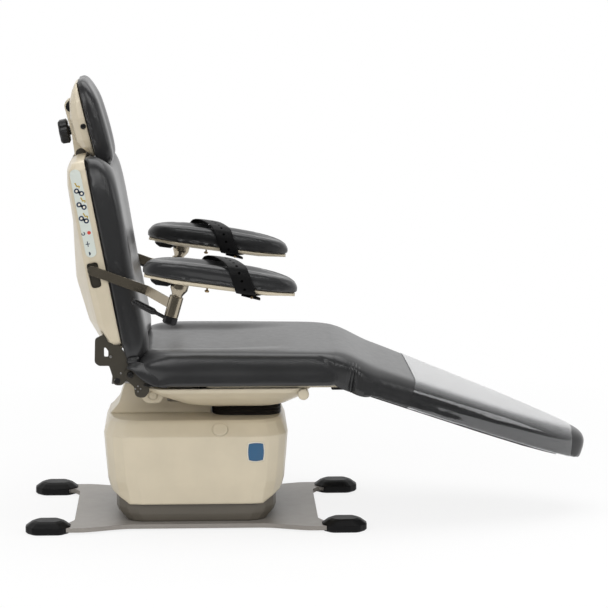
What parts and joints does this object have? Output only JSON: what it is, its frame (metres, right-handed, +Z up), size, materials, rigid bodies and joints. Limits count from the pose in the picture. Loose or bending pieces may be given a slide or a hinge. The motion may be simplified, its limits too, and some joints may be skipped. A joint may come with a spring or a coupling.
{
  "type": "oral surgery chair",
  "caption": "Powered oral surgery chair with a lift column, tilting seat, reclining back, linked leg rest, jointed headrest and strapped swivelling armrests.",
  "frame": {"origin": "middle of the footprint on the floor", "axes": "+X towards the patient's feet, +Y towards the patient's left, +Z up"},
  "size_m": [1.5896, 0.8956, 1.2481],
  "materials": {
    "cream_moulding": "smooth",
    "taupe_paint": "satin",
    "dark_bronze_plate": "satin",
    "charcoal_vinyl": "fine grain",
    "clear_vinyl": "glossy",
    "zinc_steel": "satin",
    "satin_nickel": "satin",
    "black_plastic": "matte",
    "black_rubber": "matte",
    "panel_membrane": "matte"
  },
  "bodies": {
    "base": {"base_plate": "taupe_paint", "foot_pad_1": "black_rubber", "foot_pad_2": "black_rubber", "foot_pad_3": "black_rubber", "foot_pad_4": "black_rubber", "lower_skirt": "taupe_paint", "column_outer": "zinc_steel", "power_unit": "black_plastic"},
    "mid_stage": {"column_middle": "zinc_steel", "middle_shroud": "taupe_paint"},
    "carriage": {"column_inner": "zinc_steel", "carriage_deck": "zinc_steel", "base_cover": "cream_moulding", "access_cap": "cream_moulding", "rear_cowl": "cream_moulding", "tilt_pedestal": "zinc_steel", "tilt_actuator": "black_plastic"},
    "tilt_rod": {"tilt_push_rod": "zinc_steel"},
    "seat": {"seat_frame": "zinc_steel", "tilt_shaft": "zinc_steel", "seat_pan": "cream_moulding", "seat_cushion": "charcoal_vinyl", "seat_hinge_plate_right": "dark_bronze_plate", "seat_hinge_plate_left": "dark_bronze_plate", "back_pivot_bolt_right": "zinc_steel", "back_pivot_bolt_left": "zinc_steel", "back_actuator": "black_plastic", "knee_pin": "zinc_steel"},
    "drive_rod": {"back_actuator_rod": "zinc_steel"},
    "back": {"back_shell": "cream_moulding", "back_cushion": "charcoal_vinyl", "back_board": "zinc_steel", "back_hinge_plate_right": "dark_bronze_plate", "back_hinge_plate_left": "dark_bronze_plate", "lever_pin": "zinc_steel", "control_panel": "panel_membrane"},
    "leg": {"leg_frame": "zinc_steel", "leg_cushion": "charcoal_vinyl", "foot_cover": "clear_vinyl"},
    "head_slide": {"head_bar": "zinc_steel"},
    "head_link": {"head_link": "cream_moulding", "head_lower_pin": "dark_bronze_plate"},
    "knob": {"head_knob": "black_plastic"},
    "headrest": {"headrest_shell": "cream_moulding", "headrest_cushion": "charcoal_vinyl", "head_upper_pin": "black_plastic"},
    "arm_right": {"arm_bar_right": "satin_nickel"},
    "rest_right": {"arm_post_right": "satin_nickel", "arm_pan_right": "cream_moulding", "arm_cushion_right": "charcoal_vinyl", "arm_strap_right": "black_rubber"},
    "clamp_right": {"arm_clamp_right": "black_plastic"},
    "arm_left": {"arm_bar_left": "satin_nickel"},
    "rest_left": {"arm_post_left": "satin_nickel", "arm_pan_left": "cream_moulding", "arm_cushion_left": "charcoal_vinyl", "arm_strap_left": "black_rubber"},
    "clamp_left": {"arm_clamp_left": "black_plastic"}
  },
  "joints": [
    {"name": "lift", "type": "slide", "parent": "base", "child": "carriage", "axis": [0, 0, 1], "range_m": [0, 0.36]},
    {"name": "mid_lift", "type": "slide", "parent": "base", "child": "mid_stage", "axis": [0, 0, 1], "range_m": [0, 0.18]},
    {"name": "tilt", "type": "hinge", "parent": "carriage", "child": "seat", "pos_m": [-0.4403, 0, 0.37], "axis": [0, -1, 0], "range_deg": [0, 12]},
    {"name": "tilt_push", "type": "slide", "parent": "carriage", "child": "tilt_rod", "axis": [0, 0, 1], "range_m": [0, 0.0285]},
    {"name": "recline", "type": "hinge", "parent": "seat", "child": "back", "pos_m": [-0.5003, 0, 0.4452], "axis": [0, -1, 0], "range_deg": [0, 70]},
    {"name": "recline_push", "type": "slide", "parent": "seat", "child": "drive_rod", "axis": [0.9934, 0, -0.1149], "range_m": [0, 0.0445]},
    {"name": "knee", "type": "hinge", "parent": "seat", "child": "leg", "pos_m": [0.1117, 0, 0.404], "axis": [0, -1, 0], "range_deg": [0, 16]},
    {"name": "head_height", "type": "slide", "parent": "back", "child": "head_slide", "axis": [-0.1857, 0, 0.9826], "range_m": [0, 0.1]},
    {"name": "head_lower", "type": "hinge", "parent": "head_slide", "child": "head_link", "pos_m": [-0.63758, 0, 1.03556], "axis": [0, -1, 0], "range_deg": [0, 25]},
    {"name": "head_upper", "type": "hinge", "parent": "head_link", "child": "headrest", "pos_m": [-0.66219, 0, 1.16707], "axis": [0, -1, 0], "range_deg": [0, 30]},
    {"name": "head_lock", "type": "hinge", "parent": "head_link", "child": "knob", "pos_m": [-0.66551, 0, 1.09839], "axis": [-0.9829, 0, -0.184], "range_deg": [0, 180]},
    {"name": "arm_lift_right", "type": "hinge", "parent": "back", "child": "arm_right", "pos_m": [-0.60028, -0.269, 0.73801], "axis": [0, -1, 0], "range_deg": [-65, 60]},
    {"name": "arm_swivel_right", "type": "hinge", "parent": "arm_right", "child": "rest_right", "pos_m": [-0.3771, -0.375, 0.6555], "axis": [0.2756, 0, 0.9613], "range_deg": [-45, 20]},
    {"name": "arm_lock_right", "type": "hinge", "parent": "arm_right", "child": "clamp_right", "pos_m": [-0.3771, -0.375, 0.6555], "axis": [0.2756, 0, 0.9613], "range_deg": [0, 50]},
    {"name": "arm_lift_left", "type": "hinge", "parent": "back", "child": "arm_left", "pos_m": [-0.60028, 0.269, 0.73801], "axis": [0, -1, 0], "range_deg": [-65, 60]},
    {"name": "arm_swivel_left", "type": "hinge", "parent": "arm_left", "child": "rest_left", "pos_m": [-0.3771, 0.375, 0.6555], "axis": [-0.2756, 0, -0.9613], "range_deg": [-45, 20]},
    {"name": "arm_lock_left", "type": "hinge", "parent": "arm_left", "child": "clamp_left", "pos_m": [-0.3771, 0.375, 0.6555], "axis": [-0.2756, 0, -0.9613], "range_deg": [0, 50]}
  ],
  "couplings": [
    {"joint": "mid_lift", "follows": "lift", "ratio": 0.5},
    {"joint": "tilt_push", "follows": "tilt", "m_per_rad": 0.134},
    {"joint": "recline_push", "follows": "recline", "m_per_rad": 0.0357},
    {"joint": "knee", "follows": "recline", "ratio": 0.22857}
  ]
}
